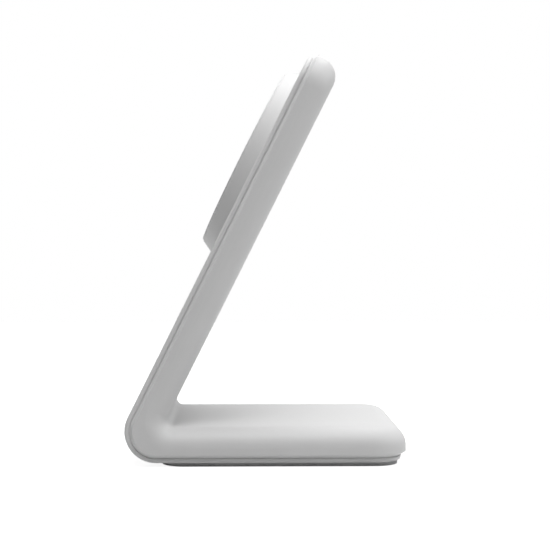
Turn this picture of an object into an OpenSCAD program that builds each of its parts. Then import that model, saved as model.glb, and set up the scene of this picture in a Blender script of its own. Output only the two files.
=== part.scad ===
/* [Stand] */
// Width of the stand across the table
stand_w = 70; // [68:1:80]
// Thickness of the column and of the base, front cover included
limb_t = 10.4; // [10.2:0.1:12]
// Angle between the base and the column
lean = 63.4; // [58:0.1:70]
// Base, from the stand's sharp outer corner to its rear end
base_len = 89.5; // [88:1:110]
// Column, from the stand's sharp outer corner to its top
column_len = 136.2; // [134:0.5:150]
// Radius of the bend on the outside, where the column turns into the base
bend_r = 9.3; // [7:0.5:10]
// Radius of the hollow between the column and the base
hollow_r = 2; // [1.5:0.1:6]
// Corner radius of the base and of the column, seen from above
corner_r = 10; // [8:0.5:14]

/* [Housing] */
// Rounding of the housing's edges on the back of the column and the top of the base
soft_r = 6; // [5:0.1:7]
// Bevel along the housing's rim: how far in from the side, and how deep
rim_bevel = [1.4, 0.9];
// Thickness of the housing's side walls
wall = 2.6; // [2.2:0.1:3]
// Thickness of the housing's back and top wall
roof = 1.8; // [1.5:0.1:2.2]

/* [Front cover] */
// Thickness of the visible plate of the front cover
cover_t = 1.3; // [1.1:0.1:1.4]
// How far the front cover stands in from the housing's sides
cover_inset = 1.5; // [1.3:0.1:1.8]
// Rounding of the front cover's outer edge
cover_edge_r = 1; // [0.4:0.1:1.1]
// Width of the open seam between the front cover and the housing
seam_w = 0.4; // [0.3:0.1:0.6]
// Depth of that seam
seam_d = 0.4; // [0.3:0.1:0.8]

/* [Charging head] */
// Centre of the round head, from the outer corner up the column
head_at = 100.7; // [98:0.1:101.5]
// Height of the head over the front cover, its pad included
head_h = 4.8; // [4.6:0.1:5.5]
// Radius of the soft pad that the telephone lies on
face_r = 29.1; // [28.5:0.1:30]
// Radius of the head where it meets the front cover
head_r = 31.9; // [31:0.1:32.5]
// Small bevel under the pad's edge: how far out, and how deep
face_bevel = [0.45, 0.15];
// Wall in front of the coil
face_wall = 0.9; // [0.7:0.1:1.2]
// Thickness of the soft pad over the head's rim
pad_t = 0.4; // [0.4:0.1:0.8]

/* [Charging parts] */
// Outer radius of the flat coil
coil_r = 21.6; // [20:0.1:22]
// Inner radius of the flat coil
coil_bore_r = 10.6; // [10.2:0.1:12]
// Turns of the coil
coil_turns = 12; // [8:1:14]
// Inner and outer radius of the magnet ring
magnet_rs = [23.2, 27];
// Magnets in the ring
magnets = 16; // [12:2:20]

/* [Base parts] */
// Thickness of the steel ballast plate
ballast_t = 2.3; // [1.5:0.1:2.4]
// Circuit board: length along the base and width
board_size = [34, 42];
// Thickness of the rubber foot, its adhesive included
foot_t = 1.3; // [1:0.1:2]
// How far the foot stands in from the housing's sides
foot_inset = 3.7; // [3:0.1:6]
// How far it stands in from the base's rear end
foot_end_inset = 2.5; // [2.5:0.1:6]
// Front end of the foot, from the outer corner
foot_from = 16.4; // [15:0.2:22]

/* [Hidden] */
$fn = 64;

shell_colour = [0.93, 0.93, 0.92];
silicone_colour = [0.9, 0.9, 0.9];
rubber_colour = [0.36, 0.36, 0.37];
adhesive_colour = [0.85, 0.82, 0.72];
steel_colour = [0.7, 0.71, 0.73];
magnet_colour = [0.62, 0.63, 0.66];
gold_colour = [0.85, 0.7, 0.35];
copper_colour = [0.72, 0.42, 0.2];
black_colour = [0.08, 0.08, 0.09];
ferrite_colour = [0.26, 0.26, 0.28];
red_colour = [0.85, 0.2, 0.15];
nylon_colour = [0.92, 0.9, 0.84];
board_colour = [0.1, 0.35, 0.2];
silicone_blue = [0.55, 0.65, 0.8];
ceramic_colour = [0.75, 0.62, 0.45];

// Solids that share a smooth skin cross each other by about this much, and the bend stands this hair
// over the limbs, so that each joint is a clean edge and not a pair of surfaces on one another
lap = 0.1;
hair = 0.002;

// The least room between two pieces that seat on each other, and how far ribs and bosses run into the
// wall that carries them
seat = 0.01;
sunk = 0.5;

// A cutter runs this far past the face that it opens
past = 1;

half_w = stand_w / 2;
rim_t = cover_t + seam_w;
room_t = limb_t - roof;
inside_w = half_w - wall;
cover_half_w = half_w - cover_inset;

// Where a round bend of this radius starts, measured along a limb from the outer corner
function bend_start(radius) = radius / tan(lean / 2);
outer_turn = [bend_start(bend_r), bend_r];
inner_turn = [bend_start(limb_t + hollow_r), limb_t + hollow_r];

// Where a solid starts that runs a little way, less than 0.2, under the next: a round number
function lapped(start) = floor(10 * start - 0.5) / 10;

// The stand's front edge in the side view is the bend's leftmost point
front_edge = outer_turn[0] - bend_r;
middle = (front_edge + base_len) / 2;

// Cross ribs behind the column's back wall, and the gap in them for the leads: its width and depths
cross_ribs_at = [44, 66, 88, 112];
cross_rib_t = 1.2;
cross_rib_near = 5.5;
lead_gap_w = 10;
lead_gap = [4, 7.4];

// The cover's locating ribs: play to the wall, thickness, height and length, and where they start
locating_play = 0.2;
locating_t = 1;
locating_h = 2.2;
column_locating = 10;
base_locating = 12;
column_locating_at = [28, 50, 72, 96, 114];
base_locating_at = [40, 60];

// Screws: along the base and to the side, or round the head's middle. Each is given by the radius and
// height of its head, and the radius and length of its shank
cover_screws_at = [[31, 25], [78, 26]];
board_screws_at = [[56, 18], [82, 18]];
head_screws_on = 7.3;
cover_screw = [2.4, 1.2, 0.99, 5.6];
board_screw = [1.7, 1, 0.79, 3.6];
head_screw = [1.9, 1.1, 0.84, 3.6];
screw_up = 0.1;
recess_w = 0.4;
recess_d = 0.6;

// Bosses of the housing: radius, bore radius and depth of the bore's end
cover_boss = [3, 1, 7.4];
board_boss = [2.2, 0.8, 7.6];
cover_boss_at = 2.6;
cover_clear_r = 1.4;
counterbore = [2.5, 1.3];
head_boss = [2.1, 0.85, 2.4];
head_clear_r = 1.2;
lead_hole_r = 3.4;

// The head's inside, from the front cover outwards: cup, pad seat, tray, ferrite, coil, yoke and magnets
cup_r = magnet_rs[1] + 0.4;
face_at = head_h - pad_t;
face_rim = 1.2;
pad_seat = 0.2;
cup_top = face_at - pad_seat - face_wall;
pad_play = 0.1;
pad_bevel = 0.1;
pad_edge_r = 0.25;
tray_t = 0.7;
tray_wall = 0.8;
tray_h = 2.6;
tray_bore_r = 4;
tray_play = 0.1;
ferrite_t = 0.7;
coil_at = tray_t + ferrite_t;
coil_pitch = (coil_r - coil_bore_r) / coil_turns;
wire_r = coil_pitch * 0.52;
yoke_t = 0.4;
magnet_t = 1.6;
magnet_gap = 0.8;
thermistor_at = -5.6;
thermistor_r = 0.9;
thermistor_h = 1;

// The circuit board and what it carries, on the base: places along the base, to the side and in depth
board_from = 52;
board_t = 1;
board_at = 3.6;
board_top = board_at + board_t;
board_hole_r = 1.1;
chip_at = [66, -2.5];
chip_size = [5, 5, 0.8];
chip_top = board_top + chip_size[2];
thermal_margin = 0.5;
inductor_at = [73, 11];
inductor_size = [6, 6, 1.5];
inductor_cap = [5.2, 5.2, 0.2];
transistor_size = [3, 3, 0.9];
transistors_x = [60, 64.5];
transistors_y = [-9, -4.5];
large_capacitor = [1.6, 3.2, 1.6];
large_capacitors_at = [59, 4];
large_capacitors = 6;
small_capacitor = [1.2, 2, 1.2];
small_capacitors_at = [72, -14];
small_capacitors = 3;
capacitor_step = 2.2;

// The socket: outer width and height, its depth in the base, and its wall
usb_at = 4.5;
usb_size = [8.94, 3.26];
usb_wall = 0.3;
usb_play = 0.15;
usb_from = base_len - 8.2;
usb_to = base_len - 0.8;
usb_plug_t = 0.4;
usb_legs_at = [1.2, 4.6];
usb_leg = [1, 0.3, 1.8];
tongue_core = 1.6;
tongue_size = [4.5, 6.6, 0.7];
contact_size = [3.8, 0.26, 0.06];
contact_pitch = 0.5;

// The ballast plate: its end, length and width, the tape over it, and the room round what it clears
ballast_from = 24;
ballast_size = [60, 55.2];
ballast_clear = 0.4;
usb_clear = [1.5, 6];
tape_t = 0.3;
tape_inset = 1;
ballast_at = room_t - tape_t - ballast_t;

// The foot
foot_corner_r = corner_r - 3;
adhesive_t = 0.15;
adhesive_inset = 1;

// The leads: their diameters and distance apart, and the plug on the board
coil_lead_d = 1.1;
sensor_lead_d = 0.8;
lead_spread = 1.6;
plug_from = board_from - 0.8;
plug_size = [4.2, 8.4, 1.7];
plug_notch = 1;

// Their route: distance along a limb and depth, down the column and then back along the base
column_route = [[head_at - 1, 1.2], [head_at - 5, 5], [88, 6.7], [66, 6.8], [44, 6.8], [28, 6.2], [16, 5]];
base_route = [[10.6, 7.4], [14.5, 4.9], [24, 3.6], [38, 2.7], [45, 2.7], [plug_from, 2.7]];
coil_lead_start = [[8.1, head_at + 4, -2], [1.6, head_at + 1, -1.9]];
sensor_lead_start = [[0, head_at - 4.6, -1.2], [0, head_at - 2.4, -1]];

// Side view: x runs along the base, y up, and the width runs along z
module side_view() translate([0, -middle, foot_t]) rotate([90, 0, 90]) children();

// The base lies flat: x runs to its rear end, y across, and z up from the cover's outer face
module on_base() translate([0, -middle, foot_t]) rotate([0, 0, 90]) children();

// The column: x runs up along it, y across, and z back from the cover's outer face
module on_column() translate([0, -middle, foot_t])
    rotate([lean, 0, 0]) rotate([0, 180, 0]) rotate([0, 0, 90]) children();

// The head: x runs up the column, and z forward from the cover's outer face
module on_head() on_column() translate([head_at, 0, 0]) rotate([180, 0, 0]) children();

module mirrored_pair() for (side = [0, 1]) mirror([0, side, 0]) children();

module round_head() for (spin = [0:120:240]) rotate(spin) translate([head_screws_on, 0, 0]) children();

// A stretch along a limb, of a section drawn as across and depth
module along(from, to) translate([from, 0, 0]) rotate([90, 0, 90]) linear_extrude(to - from) children();

// The children draw half a section, from the middle out to $reach
module out_to(reach) {
    $reach = reach;
    children();
}

module both_halves(reach) for (side = [0, 1]) mirror([side, 0]) out_to(reach) children();

// What a round edge leaves of the square corner round it, as a cutter
module outside_round(radius) difference() {
    square(2 * radius);
    circle(radius);
}

// Half a section between two depths, with its outer edge bevelled or rounded and its inner one soft
module half_section(near, far, bevel = [0, 0], edge = 0, soft = 0) difference() {
    translate([0, near]) square([$reach, far - near]);
    if (bevel[0] > 0) translate([$reach, near])
        polygon([[-2 * bevel[0], -bevel[1]], [bevel[0], 2 * bevel[1]], [bevel[0], -bevel[1]]]);
    if (edge > 0) translate([$reach - edge, near + edge]) mirror([0, 1]) outside_round(edge);
    if (soft > 0) translate([$reach - soft, far - soft]) outside_round(soft);
}

// A straight limb of a half section, with round corners at its end
module limb(from, to, reach, corner) {
    along(from, to - corner) both_halves(reach) children();
    translate([to - corner, reach - corner, 0]) {
        rotate([90, 0, 0]) linear_extrude(2 * (reach - corner)) out_to(corner) children();
        rotate_extrude(angle = 90) out_to(corner) children();
        translate([0, -2 * (reach - corner), 0]) rotate([0, 0, -90])
            rotate_extrude(angle = 90) out_to(corner) children();
    }
}

// The turn between the limbs about a centre in the side view, where depth 0 lies at the radius
module turn(centre, radius) side_view() translate([centre[0], centre[1], 0]) rotate([0, 0, lean - 270])
    rotate_extrude(angle = 180 - lean) translate([radius, 0]) rotate(90) children();

// The housing's outer form: two limbs and the bend, which is round about one centre on the outside
// and about another in the hollow
module housing_skin() {
    on_base() housing_limb(base_len);
    on_column() housing_limb(column_len);
    intersection() {
        turn(inner_turn, limb_t + hollow_r) both_halves(half_w + hair)
            half_section(-bend_r, limb_t + hair, [0, 0], 0, soft_r + hair);
        union() {
            turn(outer_turn, bend_r) both_halves(half_w + 2 * hair)
                half_section(rim_t - 2 * hair, bend_r, rim_bevel);
            on_base() bend_flank();
            on_column() bend_flank();
        }
    }
}

module housing_limb(to) limb(lapped(inner_turn[0]), to, half_w, corner_r)
    half_section(rim_t, limb_t, rim_bevel, 0, soft_r);

module bend_flank() along(lapped(outer_turn[0]), ceil(inner_turn[0]) + 1) both_halves(half_w + hair)
    half_section(rim_t - hair, limb_t + hollow_r, rim_bevel);

// The room inside, open towards the front cover
module housing_room() {
    on_base() room_limb(base_len);
    on_column() room_limb(column_len);
}

module room_limb(to) limb(-bend_r, to - wall, inside_w, corner_r - wall)
    half_section(-past, room_t, [0, 0], 0, soft_r - wall);

// A cross rib on the inside of the back wall, with a gap for the leads
module cross_rib(at) difference() {
    along(at, at + cross_rib_t) both_halves(inside_w + sunk)
        half_section(cross_rib_near, room_t + sunk, [0, 0], 0, soft_r - wall);
    translate([at - past, -lead_gap_w / 2, lead_gap[0]])
        cube([cross_rib_t + 2 * past, lead_gap_w, lead_gap[1] - lead_gap[0]]);
}

// A screw boss of the back wall: where it stands, its radius, bore radius and bore end, and its near end
module boss(at, form, near) translate([at[0], at[1], 0]) difference() {
    translate([0, 0, near]) cylinder(room_t + sunk - near, r = form[0]);
    translate([0, 0, near - past]) cylinder(form[2] - near + past, r = form[1]);
}

module stadium(size) {
    square([size[0] - size[1], size[1]], center = true);
    for (side = [-1, 1]) translate([side * (size[0] - size[1]) / 2, 0]) circle(size[1] / 2);
}

function shrunk(size, by) = [size[0] - 2 * by, size[1] - 2 * by];

// A stretch of socket section along the base, centred on the socket's axis
module usb_stretch(from, to) translate([from, 0, usb_at]) rotate([90, 0, 90])
    linear_extrude(to - from) children();

module rear_housing() color(shell_colour) {
    difference() {
        housing_skin();
        housing_room();
        on_base() usb_stretch(base_len - wall - past, base_len + past) stadium(shrunk(usb_size, -usb_play));
    }
    on_column() for (at = cross_ribs_at) cross_rib(at);
    on_base() mirrored_pair() {
        for (at = cover_screws_at) boss(at, cover_boss, cover_boss_at);
        for (at = board_screws_at) boss(at, board_boss, board_top);
    }
}

// The cover's plate, and a land behind it that seats on the housing's rim and leaves the seam open
module cover_half(over = 0) {
    half_section(-over, cover_t, [0, 0], cover_edge_r + over);
    translate([0, cover_t - lap]) square([$reach - seam_d, seam_w - seat + lap + over]);
}

module cover_limb(to) limb(lapped(outer_turn[0]), to - cover_inset, cover_half_w, corner_r - cover_inset)
    cover_half();

// Locating ribs just inside the housing's side walls
module cover_rib(from, length) mirrored_pair()
    translate([from, inside_w - locating_play - locating_t, rim_t - lap])
        cube([length, locating_t, locating_h + lap]);

module front_cover() color(shell_colour) difference() {
    union() {
        on_base() cover_limb(base_len);
        on_column() cover_limb(column_len);
        turn(outer_turn, bend_r) both_halves(cover_half_w + hair) cover_half(hair);
        on_base() {
            for (from = base_locating_at) cover_rib(from, base_locating);
            mirrored_pair() for (at = cover_screws_at) translate([at[0], at[1], rim_t - lap])
                cylinder(cover_boss_at - rim_t + lap, r = cover_boss[0]);
        }
        on_column() for (from = column_locating_at) cover_rib(from, column_locating);
    }
    on_base() mirrored_pair() for (at = cover_screws_at) translate([at[0], at[1], -past]) {
        cylinder(cover_boss_at + 2 * past, r = cover_clear_r);
        cylinder(counterbore[1] + past, r = counterbore[0]);
    }
    on_head() translate([0, 0, -rim_t - past]) {
        cylinder(rim_t + 2 * past, r = lead_hole_r);
        round_head() cylinder(rim_t + 2 * past, r = head_clear_r);
    }
}

// The head: a tapered cup, open to the cover, with a shallow seat for the pad and three screw bosses
module head_housing() color(shell_colour) on_head() {
    difference() {
        rotate_extrude() polygon([[0, 0], [head_r, 0], [face_r + face_bevel[0], face_at - face_bevel[1]],
            [face_r, face_at], [0, face_at]]);
        translate([0, 0, -past]) cylinder(cup_top + past, r = cup_r);
        translate([0, 0, face_at - pad_seat]) cylinder(pad_seat + past, r = face_r - face_rim);
    }
    round_head() difference() {
        cylinder(cup_top + lap, r = head_boss[0]);
        translate([0, 0, -past]) cylinder(head_boss[2] + past, r = head_boss[1]);
    }
}

// The soft pad covers the whole face: a thin disc with a round edge, on a step that fills the seat
module face_pad() color(silicone_colour) on_head() translate([0, 0, face_at]) rotate_extrude() {
    translate([0, -pad_seat]) square([face_r - face_rim - pad_play, pad_seat + lap]);
    difference() {
        polygon([[0, 0], [face_r - pad_bevel, 0], [face_r, pad_bevel], [face_r, pad_t], [0, pad_t]]);
        translate([face_r - pad_edge_r, pad_t - pad_edge_r]) outside_round(pad_edge_r);
    }
}

// A rectangle with round corners that lies under the base
module foot_outline(inset, thick) {
    reach = half_w - foot_inset - inset;
    length = base_len - foot_end_inset - foot_from - 2 * inset;
    across = reach - foot_corner_r;
    straight = length - 2 * foot_corner_r;
    translate([foot_from + inset + foot_corner_r, 0, 0]) linear_extrude(thick) {
        translate([0, -reach]) square([straight, 2 * reach]);
        translate([-foot_corner_r, -across]) square([length, 2 * across]);
        for (x = [0, straight], side = [-1, 1]) translate([x, side * across]) circle(foot_corner_r);
    }
}

module foot_pad() color(rubber_colour) on_base() translate([0, 0, -foot_t])
    foot_outline(0, foot_t - adhesive_t);

module foot_adhesive() color(adhesive_colour) on_base() translate([0, 0, -adhesive_t])
    foot_outline(adhesive_inset, adhesive_t);

// The socket's drawn steel shell, with four legs that go through the board
module usb_shell() color(steel_colour) on_base() {
    usb_stretch(usb_from, usb_to) difference() {
        stadium(usb_size);
        stadium(shrunk(usb_size, usb_wall));
    }
    usb_stretch(usb_from, usb_from + usb_plug_t) stadium(shrunk(usb_size, usb_wall - lap));
    mirrored_pair() for (x = usb_legs_at)
        translate([usb_from + x, usb_size[0] / 2 - usb_leg[1] + lap, board_top + sunk - usb_leg[2]])
            cube(usb_leg);
}

// The tongue stands free in the middle of the socket, on a core that closes it behind
module usb_tongue() color(black_colour) on_base() {
    usb_stretch(usb_from + usb_plug_t, usb_from + usb_plug_t + tongue_core)
        stadium(shrunk(usb_size, usb_wall + seat));
    translate([usb_from + usb_plug_t + tongue_core - lap, -tongue_size[1] / 2, usb_at - tongue_size[2] / 2])
        cube(tongue_size);
}

// Two rows of twelve contacts, above and below the tongue
module usb_contacts() color(gold_colour) on_base() for (k = [-5.5:1:5.5], side = [-1, 1]) {
    face = side * (tongue_size[2] + contact_size[2]) / 2;
    translate([usb_from + usb_plug_t + tongue_core, k * contact_pitch - contact_size[1] / 2,
        usb_at + face - contact_size[2] / 2]) cube(contact_size);
}

// The moulded tray: a floor on the cover and a wall between the coil and the magnets
module coil_tray() color(black_colour) on_head() difference() {
    union() {
        cylinder(tray_t, r = cup_r - 2 * tray_play);
        difference() {
            cylinder(tray_h, r = magnet_rs[0] - tray_play);
            translate([0, 0, tray_t]) cylinder(tray_h, r = magnet_rs[0] - tray_play - tray_wall);
        }
    }
    translate([0, 0, -past]) {
        cylinder(tray_h + past, r = tray_bore_r);
        round_head() cylinder(tray_h + past, r = head_boss[0] + 2 * tray_play);
    }
}

module ferrite_disc() color(ferrite_colour) on_head() translate([0, 0, tray_t]) difference() {
    cylinder(ferrite_t, r = magnet_rs[0] - tray_wall - 3 * tray_play);
    translate([0, 0, -past]) cylinder(ferrite_t + 2 * past, r = coil_bore_r - 4 * tray_play);
}

// The coil is wound in one flat layer, so its faces are a row of round ridges
module charging_coil() color(copper_colour) on_head() translate([0, 0, coil_at]) rotate_extrude()
    for (k = [0:coil_turns - 1]) translate([coil_bore_r + (k + 0.5) * coil_pitch, wire_r]) {
        circle(wire_r);
        square([coil_pitch + 2 * seat, wire_r], center = true);
    }

module magnet_yoke() color(steel_colour) on_head() translate([0, 0, tray_t]) difference() {
    cylinder(yoke_t, r = magnet_rs[1]);
    translate([0, 0, -past]) cylinder(yoke_t + 2 * past, r = magnet_rs[0]);
}

module ring_magnets() color(magnet_colour) on_head() translate([0, 0, tray_t + yoke_t])
    for (k = [0:magnets - 1]) rotate(k * 360 / magnets + magnet_gap / 2)
        rotate_extrude(angle = 360 / magnets - magnet_gap) translate([magnet_rs[0], 0])
            square([magnet_rs[1] - magnet_rs[0], magnet_t]);

module thermistor() color(black_colour) on_head() translate([thermistor_at, 0, tray_t]) {
    cylinder(thermistor_h, r = thermistor_r);
    translate([0, 0, thermistor_h]) sphere(thermistor_r);
}

// A round lead along a route of points, swept as rings that stay square to the route
function unit(v) = v / norm(v);
function smooth(p, q, r, s, u) = 0.5 * (2 * q + (r - p) * u + (2 * p - 5 * q + 4 * r - s) * u * u
    + (3 * q - p - 3 * r + s) * u * u * u);
function stretch(points, k, u) = smooth(points[max(k - 1, 0)], points[k], points[k + 1],
    points[min(k + 2, len(points) - 1)], u);
function route(points, steps) = [
    for (k = [0:len(points) - 2], j = [0:steps - 1]) stretch(points, k, j / steps),
    points[len(points) - 1]
];
function heading(path, k) = unit(path[min(k + 1, len(path) - 1)] - path[max(k - 1, 0)]);
function ring(centre, ahead, radius, sides) = let (
    across = unit([1, 0, 0] - ahead * ahead[0]),
    up = cross(ahead, across)
) [for (j = [0:sides - 1]) centre + radius * (cos(360 * j / sides) * across + sin(360 * j / sides) * up)];

module lead(points, diameter, sides = 8, steps = 3) {
    path = route(points, steps);
    rings = [for (k = [0:len(path) - 1]) each ring(path[k], heading(path, k), diameter / 2, sides)];
    last = (len(path) - 1) * sides;
    first_cap = [for (j = [0:sides - 1]) j];
    last_cap = [for (j = [sides - 1:-1:0]) last + j];
    skin = [for (k = [0:len(path) - 2], j = [0:sides - 1])
        let (a = k * sides + j, b = k * sides + (j + 1) % sides) [a, a + sides, b + sides, b]];
    polyhedron(rings, concat([first_cap, last_cap], skin));
}

// A point of the route: distance to the side, distance along a limb and depth
function column_point(side, at, depth) = [side,
    at * cos(lean) + depth * sin(lean) - middle, at * sin(lean) - depth * cos(lean) + foot_t];
function base_point(side, at, depth) = [side, at - middle, depth + foot_t];
function lead_route(side, start) = concat(
    [for (p = start) column_point(side + sign(side) * p[0], p[1], p[2])],
    [for (p = column_route) column_point(side, p[0], p[1])],
    [for (p = base_route) base_point(side, p[0], p[1])]);

module coil_leads() color(red_colour) for (side = [-lead_spread, lead_spread])
    lead(lead_route(side, coil_lead_start), coil_lead_d);

module sensor_lead() color(black_colour) lead(lead_route(0, sensor_lead_start), sensor_lead_d);

// The plug under the board, with a latch notch at both corners
module lead_plug() color(nylon_colour) on_base()
    translate([plug_from, -plug_size[1] / 2, board_at - plug_size[2]]) difference() {
        cube(plug_size);
        for (y = [-past, plug_size[1] - plug_notch])
            translate([plug_size[0] - plug_notch, y, -past])
                cube([2 * plug_notch, plug_notch + past, plug_size[2] + 2 * past]);
    }

module circuit_board() color(board_colour) on_base() difference() {
    translate([board_from, -board_size[1] / 2, board_at]) cube([board_size[0], board_size[1], board_t]);
    translate([usb_from - 2 * lap, -usb_size[0] / 2 - lap, board_at - past])
        cube([board_size[0], usb_size[0] + 2 * lap, board_t + 2 * past]);
    mirrored_pair() for (at = board_screws_at) translate([at[0], at[1], board_at - past])
        cylinder(board_t + 2 * past, r = board_hole_r);
}

module controller_chip() color(black_colour) on_base() translate([chip_at[0], chip_at[1], board_top])
    cube(chip_size);

// It carries the chip's heat up to the ballast plate
module thermal_pad() color(silicone_blue) on_base()
    translate([chip_at[0] - thermal_margin, chip_at[1] - thermal_margin, chip_top])
        cube([chip_size[0] + 2 * thermal_margin, chip_size[1] + 2 * thermal_margin, ballast_at - chip_top]);

// A pressed block with a lower rim round its face
module power_inductor() color(ferrite_colour) on_base()
    translate([inductor_at[0], inductor_at[1], board_at - inductor_size[2] / 2]) {
        cube(inductor_size, center = true);
        translate([0, 0, -inductor_cap[2] / 2])
            cube([inductor_cap[0], inductor_cap[1], inductor_size[2] + inductor_cap[2]], center = true);
    }

module power_transistors() color(black_colour) on_base() for (x = transistors_x, y = transistors_y)
    translate([x, y, board_at - transistor_size[2]]) cube(transistor_size);

// A row of like capacitors under the board
module capacitor_row(at, size, count) for (k = [0:count - 1])
    translate([at[0] + k * capacitor_step, at[1], board_at - size[2]]) cube(size);

module capacitors() color(ceramic_colour) on_base() {
    capacitor_row(large_capacitors_at, large_capacitor, large_capacitors);
    capacitor_row(small_capacitors_at, small_capacitor, small_capacitors);
}

// The ballast lies under the top wall, cut out round the bosses and the socket
module ballast_outline(inset) difference() {
    translate([ballast_from + inset, -ballast_size[1] / 2 + inset]) square(shrunk(ballast_size, inset));
    translate([usb_from - usb_clear[0] - inset, -usb_clear[1] - inset])
        square([ballast_size[0], 2 * (usb_clear[1] + inset)]);
    for (side = [-1, 1]) {
        for (at = cover_screws_at) translate([at[0], side * at[1]])
            circle(cover_boss[0] + ballast_clear + inset);
        for (at = board_screws_at) translate([at[0], side * at[1]])
            circle(board_boss[0] + ballast_clear + inset);
    }
}

module ballast_plate() color(steel_colour) on_base() translate([0, 0, ballast_at])
    linear_extrude(ballast_t) ballast_outline(0);

module ballast_tape() color(adhesive_colour) on_base() translate([0, 0, room_t - tape_t])
    linear_extrude(tape_t) ballast_outline(tape_inset);

// A cross-recessed screw with its head's outer face at z 0 and its shank running up
module screw(form) difference() {
    union() {
        cylinder(form[1], r = form[0]);
        cylinder(form[1] + form[3], r = form[2]);
    }
    for (spin = [0, 90]) rotate(spin) translate([-form[0] * 0.6, -recess_w / 2, -past])
        cube([form[0] * 1.2, recess_w, recess_d + past]);
}

module head_screws() color(steel_colour) on_head() round_head()
    translate([0, 0, -rim_t - head_screw[1]]) screw(head_screw);

module board_screws() color(steel_colour) on_base() mirrored_pair() for (at = board_screws_at)
    translate([at[0], at[1], board_at - board_screw[1]]) screw(board_screw);

module cover_screws() color(steel_colour) on_base() mirrored_pair() for (at = cover_screws_at)
    translate([at[0], at[1], screw_up]) screw(cover_screw);

rear_housing();
front_cover();
head_housing();
face_pad();
foot_pad();
foot_adhesive();
usb_shell();
usb_tongue();
usb_contacts();
coil_tray();
ferrite_disc();
charging_coil();
magnet_yoke();
ring_magnets();
thermistor();
coil_leads();
sensor_lead();
lead_plug();
circuit_board();
controller_chip();
thermal_pad();
power_inductor();
power_transistors();
capacitors();
ballast_plate();
ballast_tape();
head_screws();
board_screws();
cover_screws();
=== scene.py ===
import math

import bpy
from mathutils import Matrix, Vector


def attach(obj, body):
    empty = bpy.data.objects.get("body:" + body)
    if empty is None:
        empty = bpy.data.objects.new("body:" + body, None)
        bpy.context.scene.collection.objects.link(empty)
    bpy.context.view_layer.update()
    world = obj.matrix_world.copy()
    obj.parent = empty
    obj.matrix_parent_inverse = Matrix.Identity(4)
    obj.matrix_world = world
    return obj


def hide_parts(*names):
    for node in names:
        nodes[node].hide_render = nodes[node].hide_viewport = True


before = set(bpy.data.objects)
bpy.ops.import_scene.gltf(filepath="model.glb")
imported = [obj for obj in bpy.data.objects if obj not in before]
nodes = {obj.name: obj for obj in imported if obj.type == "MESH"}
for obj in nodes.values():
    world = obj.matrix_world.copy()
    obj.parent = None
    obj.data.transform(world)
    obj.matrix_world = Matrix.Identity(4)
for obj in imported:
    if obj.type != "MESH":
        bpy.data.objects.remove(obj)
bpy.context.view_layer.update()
bpy.ops.object.select_all(action="DESELECT")

# Camera
# A long lens at the height of the column's middle looks at the stand's +X side, a degree down and a degree
# round towards the front, so that the head's edge and the top of the base just show.
lens_mm = 87.29
sensor_mm = 36
camera_distance = 0.42428
camera_yaw = math.radians(1.154)
camera_pitch = math.radians(0.894)
camera_aim = Vector((0, 0.00307, 0.0627))
nearest_seen = 0.01
farthest_seen = 20

bpy.ops.object.camera_add()
camera = bpy.context.object
camera.name = "camera"
camera.data.lens = lens_mm
camera.data.sensor_width = sensor_mm
camera.data.clip_start = nearest_seen
camera.data.clip_end = farthest_seen
camera.location = camera_aim + camera_distance * Vector((math.cos(camera_yaw), -math.sin(camera_yaw), 0))
look = Vector((-math.cos(camera_yaw), math.sin(camera_yaw), -math.tan(camera_pitch)))
camera.rotation_euler = look.to_track_quat("-Z", "Y").to_euler()
bpy.context.scene.camera = camera
bpy.context.scene.view_settings.view_transform = "Standard"

# Stage
# A wide white table top in a white surround that gives no light of its own. Where the camera, a mirror or
# glass looks at them, both are lifted to white, and the table keeps the stand's soft shadow.
floor_size = 1.6
floor_white = (0.64, 0.64, 0.64, 1)
floor_lift = 0.88
surround_white = (1, 1, 1, 1)


def seen_directly(tree):
    """One where a camera, glossy or transmission ray looks, for the stage's materials."""
    path = tree.nodes.new("ShaderNodeLightPath")
    first = tree.nodes.new("ShaderNodeMath")
    first.operation = "MAXIMUM"
    tree.links.new(path.outputs["Is Camera Ray"], first.inputs[0])
    tree.links.new(path.outputs["Is Glossy Ray"], first.inputs[1])
    second = tree.nodes.new("ShaderNodeMath")
    second.operation = "MAXIMUM"
    tree.links.new(first.outputs[0], second.inputs[0])
    tree.links.new(path.outputs["Is Transmission Ray"], second.inputs[1])
    return second.outputs[0]


bpy.ops.mesh.primitive_plane_add(size=floor_size)
table_top = bpy.context.object
table_top.name = "table_top"
table_white = bpy.data.materials.new("table_white")
table_white.use_nodes = True
tree = table_white.node_tree
tree.nodes.clear()
output = tree.nodes.new("ShaderNodeOutputMaterial")
matt = tree.nodes.new("ShaderNodeBsdfDiffuse")
matt.inputs["Color"].default_value = floor_white
lift = tree.nodes.new("ShaderNodeEmission")
amount = tree.nodes.new("ShaderNodeMath")
amount.operation = "MULTIPLY"
amount.inputs[1].default_value = floor_lift
tree.links.new(seen_directly(tree), amount.inputs[0])
tree.links.new(amount.outputs[0], lift.inputs["Strength"])
both = tree.nodes.new("ShaderNodeAddShader")
tree.links.new(matt.outputs[0], both.inputs[0])
tree.links.new(lift.outputs[0], both.inputs[1])
tree.links.new(both.outputs[0], output.inputs["Surface"])
table_top.data.materials.append(table_white)

surround = bpy.data.worlds.new("white_surround")
bpy.context.scene.world = surround
surround.use_nodes = True
tree = surround.node_tree
tree.nodes.clear()
output = tree.nodes.new("ShaderNodeOutputWorld")
view = tree.nodes.new("ShaderNodeBackground")
view.inputs["Color"].default_value = surround_white
tree.links.new(seen_directly(tree), view.inputs["Strength"])
tree.links.new(view.outputs[0], output.inputs["Surface"])

# Lamps
# Large soft boxes in a wide arch over the stand: one overhead, one at either side, one in front and two
# behind. A smaller low lamp behind the base brightens its rear corner.
stand_middle = (0, 0, 0.06)
base_rear = (0, 0.03, 0.02)
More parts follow.
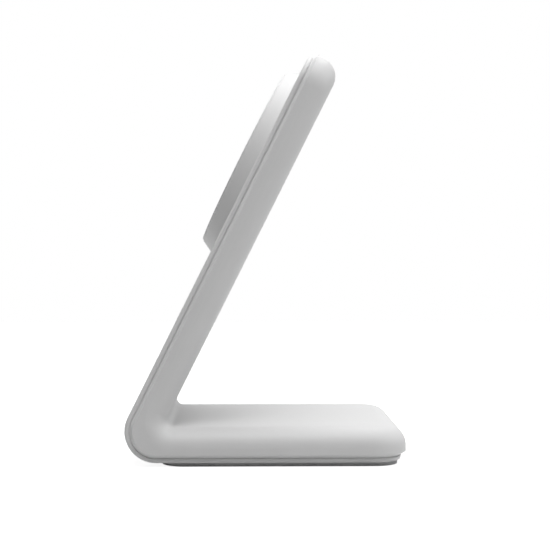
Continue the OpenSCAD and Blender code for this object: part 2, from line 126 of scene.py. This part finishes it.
# Each lamp has its place, what it points at, its width and its watts
lamps = {
    "overhead_box": ((0, 0, 0.85), stand_middle, 0.5, 2.05),
    "near_side_box": ((0.4, 0, 0.743), stand_middle, 0.4, 2.15),
    "near_rear_box": ((0.283, 0.283, 0.743), stand_middle, 0.4, 0.9),
    "front_box": ((-0.154, -0.574, 0.585), stand_middle, 0.3, 0.33),
    "far_rear_box": ((-0.283, 0.283, 0.743), stand_middle, 0.4, 0.6),
    "far_side_box": ((-0.4, 0, 0.743), stand_middle, 0.4, 1.1),
    "low_rear_lamp": ((0.055, 0.312, 0.198), base_rear, 0.15, 0.22),
}
for name, (place, target, width, watts) in lamps.items():
    bpy.ops.object.light_add(type="AREA", location=place)
    lamp = bpy.context.object
    lamp.name = name
    lamp.data.size = width
    lamp.data.energy = watts
    lamp.rotation_euler = (Vector(target) - Vector(place)).to_track_quat("-Z", "Y").to_euler()

# Rear housing
# The main moulding, of white plastic with a fine spark-eroded texture: the column's back, the base's top
# and all the sides in one piece, with ribs and screw bosses inside.
shell_whites = [(0.82, 0.82, 0.82), (0.8, 0.8, 0.8)]
finish_inputs = {"Tone": "NodeSocketColor", "Other Tone": "NodeSocketColor",
                 "Roughness": "NodeSocketFloat", "Spread": "NodeSocketFloat"}
finish_outputs = {"Color": "NodeSocketColor", "Roughness": "NodeSocketFloat", "Height": "NodeSocketFloat"}
# A Mix node's sockets for two colours, and for the colour between them
mixed_from = (6, 7)
mixed_to = 2


def finish_group(name, scales):
    """The start of a finish: a group that is given two tones, a roughness, its spread and its own scales."""
    group = bpy.data.node_groups.new(name, "ShaderNodeTree")
    for in_out, sockets in (("INPUT", {**finish_inputs, **scales}), ("OUTPUT", finish_outputs)):
        for socket, kind in sockets.items():
            group.interface.new_socket(socket, in_out=in_out, socket_type=kind)
    return group, group.nodes.new("NodeGroupInput")


def put_out(group, given, tone_by, rough_by, height):
    """The end of a finish: blends the tones by one value, and varies the roughness by another."""
    add, link = group.nodes.new, group.links.new
    out = add("NodeGroupOutput")
    colour = add("ShaderNodeMix")
    colour.data_type = "RGBA"
    link(tone_by, colour.inputs["Factor"])
    link(given.outputs["Tone"], colour.inputs[mixed_from[0]])
    link(given.outputs["Other Tone"], colour.inputs[mixed_from[1]])
    rough = add("ShaderNodeMath")
    rough.operation = "MULTIPLY_ADD"
    link(rough_by, rough.inputs[0])
    link(given.outputs["Spread"], rough.inputs[1])
    link(given.outputs["Roughness"], rough.inputs[2])
    link(colour.outputs[mixed_to], out.inputs["Color"])
    link(rough.outputs[0], out.inputs["Roughness"])
    link(height, out.inputs["Height"])


def moulded_grain_group():
    """Moulded grain: a fine noise for the roughness and the height, over a slow drift between two tones."""
    group, given = finish_group("moulded_grain", {"Grain": "NodeSocketFloat", "Mottle": "NodeSocketFloat"})
    add, link = group.nodes.new, group.links.new
    place = add("ShaderNodeTexCoord").outputs["Object"]
    grain = add("ShaderNodeTexNoise")
    grain.inputs["Detail"].default_value = 3
    grain.inputs["Roughness"].default_value = 0.6
    link(place, grain.inputs["Vector"])
    link(given.outputs["Grain"], grain.inputs["Scale"])
    mottle = add("ShaderNodeTexNoise")
    mottle.inputs["Detail"].default_value = 2
    link(place, mottle.inputs["Vector"])
    link(given.outputs["Mottle"], mottle.inputs["Scale"])
    put_out(group, given, tone_by=mottle.outputs["Fac"], rough_by=grain.outputs["Fac"],
            height=grain.outputs["Fac"])
    return group


moulded_grain = moulded_grain_group()


def surfaced(name, group, tones, depth, group_values, shader_values):
    """A material that takes colour, roughness and bump from a group, and the rest from its own shader."""
    material = bpy.data.materials.new(name)
    material.use_nodes = True
    tree = material.node_tree
    shader = tree.nodes["Principled BSDF"]
    for socket, value in shader_values.items():
        shader.inputs[socket].default_value = value
    pattern = tree.nodes.new("ShaderNodeGroup")
    pattern.node_tree = group
    pattern.inputs["Tone"].default_value = (*tones[0], 1)
    pattern.inputs["Other Tone"].default_value = (*tones[1], 1)
    for socket, value in group_values.items():
        pattern.inputs[socket].default_value = value
    bump = tree.nodes.new("ShaderNodeBump")
    bump.inputs["Distance"].default_value = depth
    tree.links.new(pattern.outputs["Height"], bump.inputs["Height"])
    tree.links.new(bump.outputs["Normal"], shader.inputs["Normal"])
    tree.links.new(pattern.outputs["Color"], shader.inputs["Base Color"])
    tree.links.new(pattern.outputs["Roughness"], shader.inputs["Roughness"])
    return material


def grained(name, tones, roughness, spread, grain, mottle, depth):
    """Moulded or pressed matter: grain and mottle are in cycles a metre, and depth is in metres."""
    values = {"Roughness": roughness, "Spread": spread, "Grain": grain, "Mottle": mottle}
    return surfaced(name, moulded_grain, tones, depth, values, shader_values={})


def give(material, *names):
    """Puts a material on CAD nodes."""
    for name in names:
        nodes[name].data.materials.clear()
        nodes[name].data.materials.append(material)


shell_plastic = grained("shell_plastic", shell_whites, roughness=0.42, spread=0.12, grain=5200, mottle=60,
                        depth=0.000012)
give(shell_plastic, "rear_housing")

# Ballast plate and its tape
# A plate of zinc plated mild steel, cut out round the screw bosses and the socket, with its edges broken.
# Double-sided tape holds it up against the base's top wall.
merge_gap = 0.000002
flat_within = math.radians(0.4)
sharp_from = math.radians(35)
smooth_within = math.radians(38)
zinc_tones = [(0.56, 0.57, 0.6), (0.42, 0.43, 0.46)]
tape_tones = [(0.8, 0.78, 0.7), (0.74, 0.72, 0.62)]


def worked_metal_group():
    """Rolled, drawn or plated metal: fine lines along one direction, over slow patches of tone."""
    group, given = finish_group("worked_metal", {"Lines": "NodeSocketVector", "Patches": "NodeSocketFloat"})
    add, link = group.nodes.new, group.links.new
    place = add("ShaderNodeTexCoord").outputs["Object"]
    drawn = add("ShaderNodeVectorMath")
    drawn.operation = "MULTIPLY"
    link(place, drawn.inputs[0])
    link(given.outputs["Lines"], drawn.inputs[1])
    lines = add("ShaderNodeTexNoise")
    lines.inputs["Scale"].default_value = 1
    lines.inputs["Detail"].default_value = 4
    link(drawn.outputs[0], lines.inputs["Vector"])
    patches = add("ShaderNodeTexVoronoi")
    link(place, patches.inputs["Vector"])
    link(given.outputs["Patches"], patches.inputs["Scale"])
    blend = add("ShaderNodeMath")
    blend.operation = "MULTIPLY"
    link(lines.outputs["Fac"], blend.inputs[0])
    link(patches.outputs["Distance"], blend.inputs[1])
    put_out(group, given, tone_by=blend.outputs[0], rough_by=lines.outputs["Fac"],
            height=lines.outputs["Fac"])
    return group


worked_metal = worked_metal_group()


def metal(name, tones, roughness, spread, lines, patches, depth, varnish=None):
    """Metal: lines gives cycles a metre along X, Y and Z, and patches gives cycles a metre."""
    values = {"Roughness": roughness, "Spread": spread, "Lines": lines, "Patches": patches}
    return surfaced(name, worked_metal, tones, depth, values, {"Metallic": 1, **(varnish or {})})


def only(piece):
    """Makes a piece the only one selected, and active."""
    bpy.ops.object.select_all(action="DESELECT")
    piece.select_set(True)
    bpy.context.view_layer.objects.active = piece


def finished(piece, material, node):
    """Gives a piece its material, and lets it stand for a CAD node on the root body."""
    piece.data.materials.clear()
    piece.data.materials.append(material)
    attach(piece, "root")
    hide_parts(node)


def edge_broken(node, name, material, width, steps=2):
    """The node's own form, merged to one skin, with its sharp edges broken as a real one's are."""
    piece = bpy.data.objects.new(name, nodes[node].data.copy())
    bpy.context.scene.collection.objects.link(piece)
    only(piece)
    bpy.ops.object.mode_set(mode="EDIT")
    bpy.ops.mesh.select_all(action="SELECT")
    bpy.ops.mesh.remove_doubles(threshold=merge_gap)
    bpy.ops.mesh.dissolve_limited(angle_limit=flat_within)
    bpy.ops.object.mode_set(mode="OBJECT")
    edges = piece.modifiers.new("edges", "BEVEL")
    edges.width = width
    edges.segments = steps
    edges.limit_method = "ANGLE"
    edges.angle_limit = sharp_from
    edges.use_clamp_overlap = True
    bpy.ops.object.modifier_apply(modifier="edges")
    bpy.ops.object.shade_smooth_by_angle(angle=smooth_within)
    piece.modifiers.new("even_shading", "WEIGHTED_NORMAL").keep_sharp = True
    bpy.ops.object.modifier_apply(modifier="even_shading")
    finished(piece, material, node)


zinc_plate = metal("zinc_plate", zinc_tones, roughness=0.32, spread=0.2, lines=(900, 60, 900), patches=260,
                   depth=0.000008)
clear_tape = grained("clear_tape", tape_tones, roughness=0.35, spread=0.2, grain=900, mottle=160,
                     depth=0.00002)
edge_broken("ballast_plate", "ballast_plate_cut", zinc_plate, width=0.00025)
give(clear_tape, "ballast_tape")

# Circuit board
# A one millimetre glass fibre board under green solder mask, with its copper tracks showing through as
# fine ridges. Four screws hold it to the bosses of the base.
mask_greens = [(0.02, 0.17, 0.07), (0.035, 0.26, 0.11)]
copper_from = 0.5
track_gap = 0.07
track_softness = 0.2


def board_tracks_group():
    """Solder mask over copper: a grid of tracks, broken up by patches, as a tone and as a height."""
    group, given = finish_group("board_tracks", {"Tracks": "NodeSocketFloat", "Patches": "NodeSocketFloat"})
    add, link = group.nodes.new, group.links.new
    place = add("ShaderNodeTexCoord").outputs["Object"]
    tracks = add("ShaderNodeTexBrick")
    tracks.inputs["Mortar Size"].default_value = track_gap
    tracks.inputs["Mortar Smooth"].default_value = track_softness
    link(place, tracks.inputs["Vector"])
    link(given.outputs["Tracks"], tracks.inputs["Scale"])
    patches = add("ShaderNodeTexNoise")
    link(place, patches.inputs["Vector"])
    link(given.outputs["Patches"], patches.inputs["Scale"])
    here = add("ShaderNodeMath")
    here.operation = "GREATER_THAN"
    here.inputs[1].default_value = copper_from
    link(patches.outputs["Fac"], here.inputs[0])
    laid = add("ShaderNodeMath")
    laid.operation = "MULTIPLY"
    link(tracks.outputs["Fac"], laid.inputs[0])
    link(here.outputs[0], laid.inputs[1])
    put_out(group, given, tone_by=laid.outputs[0], rough_by=patches.outputs["Fac"], height=laid.outputs[0])
    return group


solder_mask = surfaced("solder_mask", board_tracks_group(), mask_greens, depth=0.00003, shader_values={},
                       group_values={"Roughness": 0.22, "Spread": 0.15, "Tracks": 320, "Patches": 210})
edge_broken("circuit_board", "circuit_board_routed", solder_mask, width=0.00008, steps=1)

# Socket
# A shell of drawn stainless steel with a softened mouth and four legs, round a black tongue that carries
# gold plated contacts above and below.
steel_tones = [(0.74, 0.75, 0.77), (0.6, 0.61, 0.63)]
resin_blacks = [(0.022, 0.022, 0.024), (0.035, 0.035, 0.038)]
gold_tones = [(0.9, 0.66, 0.28), (0.8, 0.56, 0.22)]
drawn_steel = metal("drawn_steel", steel_tones, roughness=0.2, spread=0.15, lines=(300, 2600, 2600),
                    patches=500, depth=0.000002)
black_resin = grained("black_resin", resin_blacks, roughness=0.42, spread=0.2, grain=6500, mottle=400,
                      depth=0.000006)
gold_plate = metal("gold_plate", gold_tones, roughness=0.18, spread=0.12, lines=(900, 6000, 6000),
                   patches=900, depth=0.000001)
edge_broken("usb_shell", "usb_shell_drawn", drawn_steel, width=0.00007)
edge_broken("usb_tongue", "usb_tongue_moulded", black_resin, width=0.00006)
edge_broken("usb_contacts", "usb_contacts_stamped", gold_plate, width=0.00001, steps=1)

# Parts on the board
# A moulded control chip and its soft thermal pad on top; below, a pressed inductor, four moulded power
# transistors and two rows of fired ceramic capacitors. All but the thermal pad are soldered on.
ferrite_greys = [(0.06, 0.06, 0.064), (0.11, 0.11, 0.115)]
ceramic_tans = [(0.5, 0.37, 0.22), (0.58, 0.44, 0.27)]
gel_blues = [(0.33, 0.43, 0.58), (0.4, 0.5, 0.64)]
pressed_ferrite = grained("pressed_ferrite", ferrite_greys, roughness=0.5, spread=0.25, grain=3200,
                          mottle=1500, depth=0.00002)
fired_ceramic = grained("fired_ceramic", ceramic_tans, roughness=0.35, spread=0.15, grain=5000, mottle=700,
                        depth=0.000004)
thermal_gel = grained("thermal_gel", gel_blues, roughness=0.62, spread=0.2, grain=1800, mottle=300,
                      depth=0.00002)
edge_broken("controller_chip", "controller_chip_moulded", black_resin, width=0.00012)
edge_broken("thermal_pad", "thermal_pad_cut", thermal_gel, width=0.00015, steps=3)
edge_broken("power_inductor", "power_inductor_pressed", pressed_ferrite, width=0.00018, steps=3)
edge_broken("power_transistors", "power_transistors_moulded", black_resin, width=0.0001)
edge_broken("capacitors", "capacitors_fired", fired_ceramic, width=0.0001)

# Board screws
# Four plated cross-recessed screws with a rounded pan head and a cut thread, driven up through the board
# into the bosses of the base.
# The base's zero is the corner where the cover's two outer faces would meet: x runs to the rear end, y
# across and z up
base_zero = Vector((0, -0.047629, 0.0013))
base_turn = Matrix(((0, -1, 0), (1, 0, 0), (0, 0, 1)))
on_base = Matrix.Translation(base_zero) @ base_turn.to_4x4()
board_screw = {"head_r": 0.0017, "head_t": 0.001, "shank_r": 0.00079, "shank_l": 0.0036, "pitch": 0.0005}
board_screw_z = 0.0026
board_screws_at = [(x, y, board_screw_z) for x in (0.056, 0.082) for y in (-0.018, 0.018)]
screw_tones = [(0.66, 0.67, 0.7), (0.5, 0.51, 0.54)]
screw_steel = metal("screw_steel", screw_tones, roughness=0.24, spread=0.2, lines=(1800, 1800, 5200),
                    patches=800, depth=0.000003)
thread_in_head = 0.0001
thread_steps = 24
head_sides = 40
# Shares of the shank's radius, and of the pitch
thread_root = 0.8
bare_tip = 0.6
# Shares of the head's radius, and of its thickness
recess_length = 1.2
recess_width = 0.24
recess_depth = 0.6
head_rounding = 0.35


def choose(piece, kind, wanted):
    """Opens the active piece in edit mode, with only those edges or faces selected that are wanted."""
    bpy.ops.object.mode_set(mode="EDIT")
    bpy.ops.mesh.select_mode(type=kind)
    bpy.ops.mesh.select_all(action="DESELECT")
    bpy.ops.object.mode_set(mode="OBJECT")
    for item in (piece.data.edges if kind == "EDGE" else piece.data.polygons):
        item.select = wanted(item)
    bpy.ops.object.mode_set(mode="EDIT")


def screw_thread(root_r, crest_r, start, pitch, turns):
    """A V thread that runs up from its start, as one closed solid."""
    bpy.ops.mesh.primitive_circle_add(vertices=3)
    thread = bpy.context.object
    corners = [(root_r, 0, start), (crest_r, 0, start + pitch / 2), (root_r, 0, start + pitch)]
    for corner, place in zip(thread.data.vertices, corners):
        corner.co = place
    choose(thread, "EDGE", lambda edge: set(edge.vertices) == {0, 2})
    bpy.ops.mesh.delete(type="EDGE")
    bpy.ops.object.mode_set(mode="OBJECT")
    wound = thread.modifiers.new("wound", "SCREW")
    wound.axis = "Z"
    wound.screw_offset = pitch
    wound.iterations = turns
    wound.steps = thread_steps
    wound.render_steps = thread_steps
    wound.use_merge_vertices = True
    wound.merge_threshold = merge_gap
    bpy.ops.object.modifier_apply(modifier="wound")
    bpy.ops.object.mode_set(mode="EDIT")
    bpy.ops.mesh.select_all(action="SELECT")
    bpy.ops.mesh.remove_doubles(threshold=merge_gap)
    bpy.ops.mesh.select_all(action="DESELECT")
    bpy.ops.mesh.select_non_manifold()
    bpy.ops.mesh.fill()
    bpy.ops.mesh.select_all(action="SELECT")
    bpy.ops.mesh.normals_make_consistent(inside=False)
    bpy.ops.object.mode_set(mode="OBJECT")
    return thread


def screw_head(head_r, head_t):
    """A pan head with a cross recess, its rounded outer face at height zero."""
    bpy.ops.mesh.primitive_cylinder_add(vertices=head_sides, radius=head_r, depth=head_t,
                                        location=(0, 0, head_t / 2))
    head = bpy.context.object
    bpy.ops.object.transform_apply(location=True, rotation=False, scale=False)
    choose(head, "EDGE", lambda edge: all(head.data.vertices[k].co.z < head_t / 2 for k in edge.vertices))
    bpy.ops.mesh.bevel(offset=head_t * head_rounding, segments=4, affect="EDGES")
    bpy.ops.object.mode_set(mode="OBJECT")
    for spin in (0, math.pi / 2):
        bpy.ops.mesh.primitive_cube_add(size=1, rotation=(0, 0, spin))
        cutter = bpy.context.object
        cutter.scale = (head_r * recess_length, head_r * recess_width, head_t)
        cutter.location = (0, 0, head_t * (recess_depth - 0.5))
        only(head)
        recess = head.modifiers.new("recess", "BOOLEAN")
        recess.operation = "DIFFERENCE"
        recess.object = cutter
        recess.solver = "EXACT"
        bpy.ops.object.modifier_apply(modifier="recess")
        bpy.data.objects.remove(cutter)
    return head


def screw(name, head_r, head_t, shank_r, shank_l, pitch):
    """One screw, with its thread running up from the head."""
    turns = int((shank_l - bare_tip * pitch) / pitch)
    thread = screw_thread(shank_r * thread_root, shank_r, head_t - thread_in_head, pitch, turns)
    head = screw_head(head_r, head_t)
    only(head)
    thread.select_set(True)
    bpy.ops.object.join()
    head.name = name
    bpy.ops.object.shade_smooth_by_angle(angle=sharp_from)
    return head


def driven(name, sizes, places, carrier, node):
    """Copies of one screw, each with its own mesh, at their places on what carries them."""
    pattern = screw(name, **sizes)
    for count, place in enumerate(places, 1):
        copy = bpy.data.objects.new(f"{name}_{count}", pattern.data.copy())
        bpy.context.scene.collection.objects.link(copy)
        copy.data.transform(carrier @ Matrix.Translation(place))
        finished(copy, screw_steel, node)
    bpy.data.objects.remove(pattern)


driven("board_screw", board_screw, board_screws_at, on_base, "board_screws")

# Leads and their plug
# Two red silicone leads from the coil and a thinner black one from the sensor run down the column and along
# the base, to a natural nylon plug under the board.
lean = math.radians(63.4)
head_at = 0.1007
coil_lead_r = 0.00055
sensor_lead_r = 0.0004
lead_spread = 0.0016
round_within = math.radians(50)
# Each place is up the column and back from the cover's face, or along the base and up
column_route = [(head_at - 0.001, 0.0012), (head_at - 0.005, 0.005), (0.088, 0.0067), (0.066, 0.0068),
                (0.044, 0.0068), (0.028, 0.0062), (0.016, 0.005)]
base_route = [(0.0106, 0.0074), (0.0145, 0.0049), (0.024, 0.0036), (0.038, 0.0027), (0.045, 0.0027),
              (0.0512, 0.0027)]
# Each place is out from the lead's own line, up the column and back from the cover's face
coil_lead_start = [(0.0081, head_at + 0.004, -0.002), (0.0016, head_at + 0.001, -0.0019)]
sensor_lead_start = [(0, head_at - 0.0046, -0.0012), (0, head_at - 0.0024, -0.001)]
lead_reds = [(0.55, 0.035, 0.025), (0.48, 0.03, 0.022)]
lead_blacks = [(0.025, 0.025, 0.026), (0.04, 0.04, 0.042)]
nylon_tones = [(0.78, 0.75, 0.66), (0.72, 0.69, 0.6)]
red_insulation = grained("red_insulation", lead_reds, roughness=0.45, spread=0.15, grain=3500, mottle=500,
                         depth=0.000006)
black_insulation = grained("black_insulation", lead_blacks, roughness=0.45, spread=0.15, grain=3500,
                           mottle=500, depth=0.000006)
natural_nylon = grained("natural_nylon", nylon_tones, roughness=0.4, spread=0.15, grain=4500, mottle=300,
                        depth=0.000006)


def on_column(side, along, depth):
    """A point by its distance to the side, up the column and back from the cover's face."""
    return base_zero + Vector((side, along * math.cos(lean) + depth * math.sin(lean),
                               along * math.sin(lean) - depth * math.cos(lean)))


def smooth_path(points, steps):
    """Points on a smooth curve that runs through the given ones, with a number of steps between each two."""
    path = []
    for k in range(len(points) - 1):
        before, here = points[max(k - 1, 0)], points[k]
        after, beyond = points[k + 1], points[min(k + 2, len(points) - 1)]
        for j in range(steps):
            u = j / steps
            path.append(0.5 * (2 * here + (after - before) * u
                               + (2 * before - 5 * here + 4 * after - beyond) * u * u
                               + (3 * here - before - 3 * after + beyond) * u * u * u))
    return path + [points[-1]]


def tube(name, points, radius, roundness=4, steps=6):
    """A round tube on a smooth curve through points, closed at both ends."""
    curve = bpy.data.curves.new(name, "CURVE")
    curve.dimensions = "3D"
    curve.bevel_depth = radius
    curve.bevel_resolution = roundness
    curve.use_fill_caps = True
    spline = curve.splines.new("POLY")
    path = smooth_path(points, steps)
    spline.points.add(len(path) - 1)
    for point, place in zip(spline.points, path):
        point.co = (*place, 1)
    piece = bpy.data.objects.new(name, curve)
    bpy.context.scene.collection.objects.link(piece)
    only(piece)
    bpy.ops.object.convert(target="MESH")
    bpy.ops.object.mode_set(mode="EDIT")
    bpy.ops.mesh.select_all(action="SELECT")
    bpy.ops.mesh.remove_doubles(threshold=merge_gap)
    bpy.ops.mesh.normals_make_consistent(inside=False)
    bpy.ops.object.mode_set(mode="OBJECT")
    bpy.ops.object.shade_smooth_by_angle(angle=round_within)
    return bpy.context.object


def lead_points(side, start):
    """The whole route of one lead, from the head to the plug."""
    sign = (side > 0) - (side < 0)
    return ([on_column(side + sign * out, along, depth) for out, along, depth in start]
            + [on_column(side, along, depth) for along, depth in column_route]
            + [on_base @ Vector((along, -side, up)) for along, up in base_route])


for name, side in (("coil_lead_left", -lead_spread), ("coil_lead_right", lead_spread)):
    finished(tube(name, lead_points(side, coil_lead_start), coil_lead_r), red_insulation,
             "coil_leads")
finished(tube("sensor_lead_drawn", lead_points(0, sensor_lead_start), sensor_lead_r), black_insulation,
         "sensor_lead")
edge_broken("lead_plug", "lead_plug_moulded", natural_nylon, width=0.00015)

# Head housing
# A shallow round cup with a tapered wall, moulded in the shell's white plastic. It closes the coil and the
# magnets in against the front cover, where three hidden screws hold it.
give(shell_plastic, "head_housing")

# Coil tray, ferrite and sensor
# A thin black moulded tray with a wall between the coil and the magnets, a sintered ferrite disc that
# keeps the field out of the column, and a bead sensor in the middle of the coil.
edge_broken("coil_tray", "coil_tray_moulded", black_resin, width=0.00012)
edge_broken("ferrite_disc", "ferrite_disc_sintered", pressed_ferrite, width=0.00008)
give(black_resin, "thermistor")

# Charging coil
# Enamelled copper wire wound in one flat layer, each turn against the last, from the bore outwards.
# It lies on the ferrite disc.
coil_bore_r = 0.0106
coil_breadth = 0.011
coil_turns = 12
coil_seat = 0.0014
# Shares of the pitch
wire_radius = 0.49
wire_middle = 0.52
coil_pitch = coil_breadth / coil_turns
coil_wire_r = coil_pitch * wire_radius
coil_height = coil_seat + coil_pitch * wire_middle
points_a_turn = 18
# The head's zero is on the cover's face, on its own axis: x runs up the column, y across and z outwards
head_zero = on_column(0, head_at, 0)
head_turn = Matrix(((0, -1, 0), (math.cos(lean), 0, -math.sin(lean)), (math.sin(lean), 0, math.cos(lean))))
on_head = Matrix.Translation(head_zero) @ head_turn.to_4x4()
copper_tones = [(0.72, 0.3, 0.13), (0.6, 0.24, 0.1)]
enamelled_copper = metal("enamelled_copper", copper_tones, roughness=0.22, spread=0.12,
                         lines=(1500, 1500, 1500), patches=600, depth=0.000003,
                         varnish={"Coat Weight": 0.7, "Coat Roughness": 0.12})
winding = []
for k in range((coil_turns - 1) * points_a_turn + 1):
    angle = 2 * math.pi * k / points_a_turn
    reach = coil_bore_r + coil_pitch * (0.5 + k / points_a_turn)
    winding.append(on_head @ Vector((reach * math.cos(angle), reach * math.sin(angle), coil_height)))
finished(tube("charging_coil_wound", winding, coil_wire_r, roundness=2, steps=3), enamelled_copper,
         "charging_coil")

# Magnets and yoke
# Sixteen nickel plated magnet segments in a ring, on a thin stamped steel yoke that closes their field
# behind.
nickel_tones = [(0.66, 0.66, 0.68), (0.58, 0.58, 0.6)]
magnet_nickel = metal("magnet_nickel", nickel_tones, roughness=0.16, spread=0.1, lines=(2200, 2200, 2200),
                      patches=400, depth=0.000002)
edge_broken("magnet_yoke", "magnet_yoke_stamped", drawn_steel, width=0.00005, steps=1)
edge_broken("ring_magnets", "ring_magnets_plated", magnet_nickel, width=0.00015)

# Front cover
# The second moulding of the same plastic: one plate down the column's front, round the bend and under the
# base. It seats on the housing's rim with an open seam all round.
give(shell_plastic, "front_cover")

# Head screws and cover screws
# Three short screws go from inside the column into the head's bosses, and four longer ones from under the
# base, in counterbores that the foot covers, into the housing.
head_screw = {"head_r": 0.0019, "head_t": 0.0011, "shank_r": 0.00084, "shank_l": 0.0036, "pitch": 0.0005}
head_screws_r = 0.0073
head_screws_z = -0.0028
head_screw_count = 3
head_screw_angles = [2 * math.pi * k / head_screw_count for k in range(head_screw_count)]
head_screws_at = [(head_screws_r * math.cos(angle), head_screws_r * math.sin(angle), head_screws_z)
                  for angle in head_screw_angles]
cover_screw = {"head_r": 0.0024, "head_t": 0.0012, "shank_r": 0.00099, "shank_l": 0.0056, "pitch": 0.0006}
cover_screw_z = 0.0001
cover_screws_at = [(x, y, cover_screw_z) for x, across in ((0.031, 0.025), (0.078, 0.026))
                   for y in (-across, across)]
driven("head_screw", head_screw, head_screws_at, on_head, "head_screws")
driven("cover_screw", cover_screw, cover_screws_at, on_base, "cover_screws")

# Foot
# A die-cut pad of grey rubber with a fine textured skin and softened edges, stuck under the base with a
# sheet of adhesive.
foot_greys = [(0.7, 0.7, 0.705), (0.64, 0.64, 0.645)]
foot_skin = grained("foot_skin", foot_greys, roughness=0.7, spread=0.15, grain=2600, mottle=90,
                    depth=0.00003)
edge_broken("foot_pad", "foot_pad_cut", foot_skin, width=0.0002, steps=3)
give(clear_tape, "foot_adhesive")

# Face pad
# A thin disc of soft white silicone over the whole face of the head, moulded with a round edge, so that
# the telephone doesn't slip or scratch. A shallow step under it fills the seat in the face.
pad_r = 0.0291
pad_t = 0.0004
pad_from = 0.0044
pad_edge = 0.00022
pad_seat = 0.0002
pad_seat_in = 0.0013
pad_middle = pad_from + pad_t / 2
pad_sides = 192
facing_down = -0.9
silicone_whites = [(0.82, 0.82, 0.82), (0.79, 0.79, 0.79)]
soft_silicone = grained("soft_silicone", silicone_whites, roughness=0.6, spread=0.1, grain=7000, mottle=80,
                        depth=0.000006)
bpy.ops.object.select_all(action="DESELECT")
bpy.ops.mesh.primitive_cylinder_add(vertices=pad_sides, radius=pad_r, depth=pad_t,
                                    location=(0, 0, pad_middle))
pad = bpy.context.object
pad.name = "face_pad_moulded"
bpy.ops.object.transform_apply(location=True, rotation=False, scale=False)
choose(pad, "EDGE", lambda edge: all(pad.data.vertices[k].co.z > pad_middle for k in edge.vertices))
bpy.ops.mesh.bevel(offset=pad_edge, segments=5, affect="EDGES")
choose(pad, "FACE", lambda face: face.normal.z < facing_down)
bpy.ops.mesh.inset(thickness=pad_seat_in)
bpy.ops.mesh.extrude_region_move(TRANSFORM_OT_translate={"value": (0, 0, -pad_seat)})
bpy.ops.object.mode_set(mode="OBJECT")
pad.data.transform(on_head)
bpy.ops.object.shade_smooth_by_angle(angle=sharp_from)
finished(pad, soft_silicone, "face_pad")
